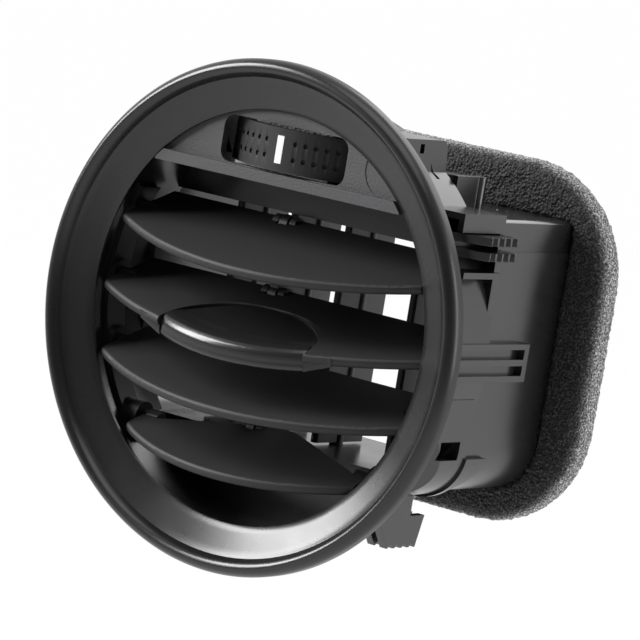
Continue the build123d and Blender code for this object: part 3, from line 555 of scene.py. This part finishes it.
# Handle cap. Satin ABS, pressed into the second slat: dished on top for a finger, with a full,
# rounded front and a lip below it. It is smoother than the slat, so it takes a long soft
# highlight along the front, and its edges are round from use.
cap_abs = moulded("satin_polished_abs", "1f1f20", 0.24, grain_mm=0.8, grain_depth_mm=0.002)
cap_section = [
    (0.5, 1.15), (-3.5, 0.95), (-7.0, 0.6), (-10.5, 0.45), (-13.5, 0.65), (-16.0, 1.1), (-17.6, 1.3),
    (-18.9, 1.1), (-19.8, 0.6), (-20.35, -0.1), (-20.6, -0.9), (-20.75, -1.6), (-21.0, -2.3),
    (-20.9, -3.0), (-20.4, -3.3), (-17.0, -3.0), (-12.0, -2.0), (-8.7, -1.1), (0.5, -1.1),
]
front_arc = 46.2
cap_end = 21.0
steps_across = 42
shrink = -0.04
bpy.ops.object.select_all(action="DESELECT")
bpy.ops.mesh.primitive_plane_add(size=0.01)
cap = bpy.context.object
cap.name = "handle_cap_moulding"
bpy.ops.object.mode_set(mode="EDIT")
bpy.ops.mesh.select_mode(type="VERT")
bpy.ops.mesh.select_all(action="SELECT")
bpy.ops.mesh.merge(type="CENTER")
end_chord, end_height = cap_section[0]
end_setback = front_arc - math.sqrt(front_arc ** 2 - cap_end ** 2)
bpy.ops.transform.translate(value=(-cap_end / 1000, (end_chord + end_setback) / 1000, end_height / 1000))
for (chord_before, height_before), (chord, height) in zip(cap_section, cap_section[1:]):
    back_step = chord - chord_before
    up_step = height - height_before
    bpy.ops.mesh.extrude_region_move(
        TRANSFORM_OT_translate={"value": (0.0, back_step / 1000, up_step / 1000)}
    )
bpy.ops.mesh.select_all(action="SELECT")
bpy.ops.mesh.edge_face_add()
x_before = -cap_end
for step in range(1, steps_across + 1):
    x = -cap_end + 2 * cap_end * step / steps_across
    shift = math.sqrt(front_arc ** 2 - x_before ** 2) - math.sqrt(front_arc ** 2 - x ** 2)
    bpy.ops.mesh.extrude_region_move(
        TRANSFORM_OT_translate={"value": ((x - x_before) / 1000, shift / 1000, 0.0)}
    )
    x_before = x
bpy.ops.mesh.select_all(action="SELECT")
bpy.ops.mesh.normals_make_consistent(inside=False)
bpy.ops.object.mode_set(mode="OBJECT")
onto_slat(cap)
combine(cap, [oval("cap_plan", shrink)], "INTERSECT")
even = cap.modifiers.new("even_mesh", "REMESH")
even.mode = "VOXEL"
even.voxel_size = 0.24 / 1000
soft = cap.modifiers.new("soft_edges", "SMOOTH")
soft.factor = 0.6
soft.iterations = 3
for change in ("even_mesh", "soft_edges"):
    bpy.ops.object.modifier_apply(modifier=change)
bpy.ops.object.shade_smooth()
cap.data.materials.append(cap_abs)
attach(cap, body_of["handle_cap"])
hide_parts("handle_cap")

# Thumbwheel, its index mark and the axle that it turns on. The wheel is polypropylene, dull
# from a blasted tool for grip. The mark is white ABS pressed into it, plain and matt, and the
# axle is turned steel, a bright grey pin.
wheel_pp = moulded(
    "fine_matt_polypropylene", "0e0e0f", 0.6, grain_mm=0.5, grain_depth_mm=0.01, specular=0.35
)
dressed("thumbwheel", wheel_pp, rounding_mm=0.1)
mark_abs = moulded("white_inlay_abs", "dededf", 0.45)
dressed("index_mark", mark_abs, rounding_mm=0.1)
axle_steel = moulded("turned_steel", "a9a9a9", 0.3)
axle_steel.node_tree.nodes["Principled BSDF"].inputs["Metallic"].default_value = 1.0
dressed("wheel_axle", axle_steel, rounding_mm=0.15)

# Foam seal. Open-cell polyurethane foam, a cut band glued round the duct's rear end, which
# springs out a little past its cut size. Painted glints stand for light on the cell walls of the
# cut rim, and the front and rear faces are painted darker, partly a smoother skin and partly
# painted shade.
voxel_mm = 0.55
torn_mm = 0.9
seal = rounded_block(
    "foam_band", (-55.5, 49.0, -37.9), (55.5, 57.9, 41.4), top_radius=25.0, bottom_radius=24.0
)
throat = rounded_block(
    "throat", (-45.9, 40.0, -29.9), (45.9, 70.0, 30.1), top_radius=2.0, bottom_radius=11.0
)
pick(seal)
rim = seal.modifiers.new("rounded_rim", "BEVEL")
rim.width = 3.4 / 1000
rim.segments = 5
rim.limit_method = "ANGLE"
rim.angle_limit = math.radians(60)
hole = seal.modifiers.new("hole", "BOOLEAN")
hole.operation = "DIFFERENCE"
hole.object = throat
fine_mesh = seal.modifiers.new("fine_mesh", "REMESH")
fine_mesh.mode = "VOXEL"
fine_mesh.voxel_size = voxel_mm / 1000
cell_walls = bpy.data.textures.new("cell_walls", "CLOUDS")
cell_walls.noise_scale = torn_mm / 1000
torn = seal.modifiers.new("torn_cells", "DISPLACE")
torn.texture = cell_walls
torn.texture_coords = "LOCAL"
torn.strength = torn_mm / 1000
torn.mid_level = 0.5
for change in ("rounded_rim", "hole", "fine_mesh", "torn_cells"):
    bpy.ops.object.modifier_apply(modifier=change)
bpy.data.objects.remove(throat)
bpy.ops.object.shade_smooth()

# Real cells of such a foam are 0.3 to 0.5 mm across, too fine to show one by one, so the pores,
# the torn relief and the painted glints on the cell walls are all drawn a little coarser.
pore_mm = 0.6667
wall_mm = 0.4348
foam = bpy.data.materials.new("open_cell_polyurethane_foam")
foam.use_nodes = True
foam_tree = foam.node_tree
foam_shader = foam_tree.nodes["Principled BSDF"]
foam_shader.inputs["Roughness"].default_value = 0.7
foam_shader.inputs["Specular IOR Level"].default_value = 0.3
foam_place = add_node(foam_tree, "ShaderNodeTexCoord")
pores = add_node(
    foam_tree, "ShaderNodeTexVoronoi", {"Scale": 1000.0 / pore_mm}, {"Vector": (foam_place, "Object")}
)
walls = add_node(
    foam_tree, "ShaderNodeTexNoise", {"Scale": 1000.0 / wall_mm, "Detail": 3.0, "Roughness": 0.7},
    {"Vector": (foam_place, "Object")},
)
# Painted glints: the pale stops of the rim's colour are light painted on the cell walls.
cut_rim_painted_glints = add_node(foam_tree, "ShaderNodeValToRGB", links={"Fac": (walls, "Fac")})
cut_rim_painted_glints.color_ramp.elements[0].position = 0.38
cut_rim_painted_glints.color_ramp.elements[0].color = linear("363637")
cut_rim_painted_glints.color_ramp.elements[1].position = 0.68
cut_rim_painted_glints.color_ramp.elements[1].color = linear("f2f2f2")
half_painted_glint = cut_rim_painted_glints.color_ramp.elements.new(0.54)
half_painted_glint.color = linear("8c8c8d")
# Painted shade: the front and rear faces are darker, with only faint painted glints.
face_skin_painted_shade = add_node(foam_tree, "ShaderNodeValToRGB", links={"Fac": (walls, "Fac")})
face_skin_painted_shade.color_ramp.elements[0].position = 0.45
face_skin_painted_shade.color_ramp.elements[0].color = linear("121213")
face_skin_painted_shade.color_ramp.elements[1].position = 0.78
face_skin_painted_shade.color_ramp.elements[1].color = linear("5c5c5d")
foam_parts = add_node(foam_tree, "ShaderNodeSeparateXYZ", links={"Vector": (foam_place, "Object")})
from_front = add_node(
    foam_tree, "ShaderNodeMapRange",
    {"From Min": 0.0495, "From Max": 0.0525, "interpolation_type": "SMOOTHSTEP"},
    {"Value": (foam_parts, "Y")},
)
from_rear = add_node(
    foam_tree, "ShaderNodeMapRange",
    {"From Min": 0.0578, "From Max": 0.0565, "interpolation_type": "SMOOTHSTEP"},
    {"Value": (foam_parts, "Y")},
)
# Mask that puts the painted glints on the rim and the painted shade on the front and rear faces.
rim_glint_mask = add_node(
    foam_tree, "ShaderNodeMath", {"operation": "MULTIPLY"},
    {0: (from_front, "Result"), 1: (from_rear, "Result")},
)
colour_a = 6
colour_b = 7
colour_out = 2
shades = add_node(
    foam_tree, "ShaderNodeMix", {"data_type": "RGBA"},
    {"Factor": (rim_glint_mask, "Value"), colour_a: (face_skin_painted_shade, "Color"), colour_b: (cut_rim_painted_glints, "Color")},
)
foam_tree.links.new(shades.outputs[colour_out], foam_shader.inputs["Base Color"])
pitted = add_node(
    foam_tree, "ShaderNodeBump", {"Strength": 0.8, "Distance": 0.0005}, {"Height": (pores, "Distance")}
)
foam_tree.links.new(pitted.outputs["Normal"], foam_shader.inputs["Normal"])
seal.data.materials.append(foam)
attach(seal, "housing")
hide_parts("foam_gasket")
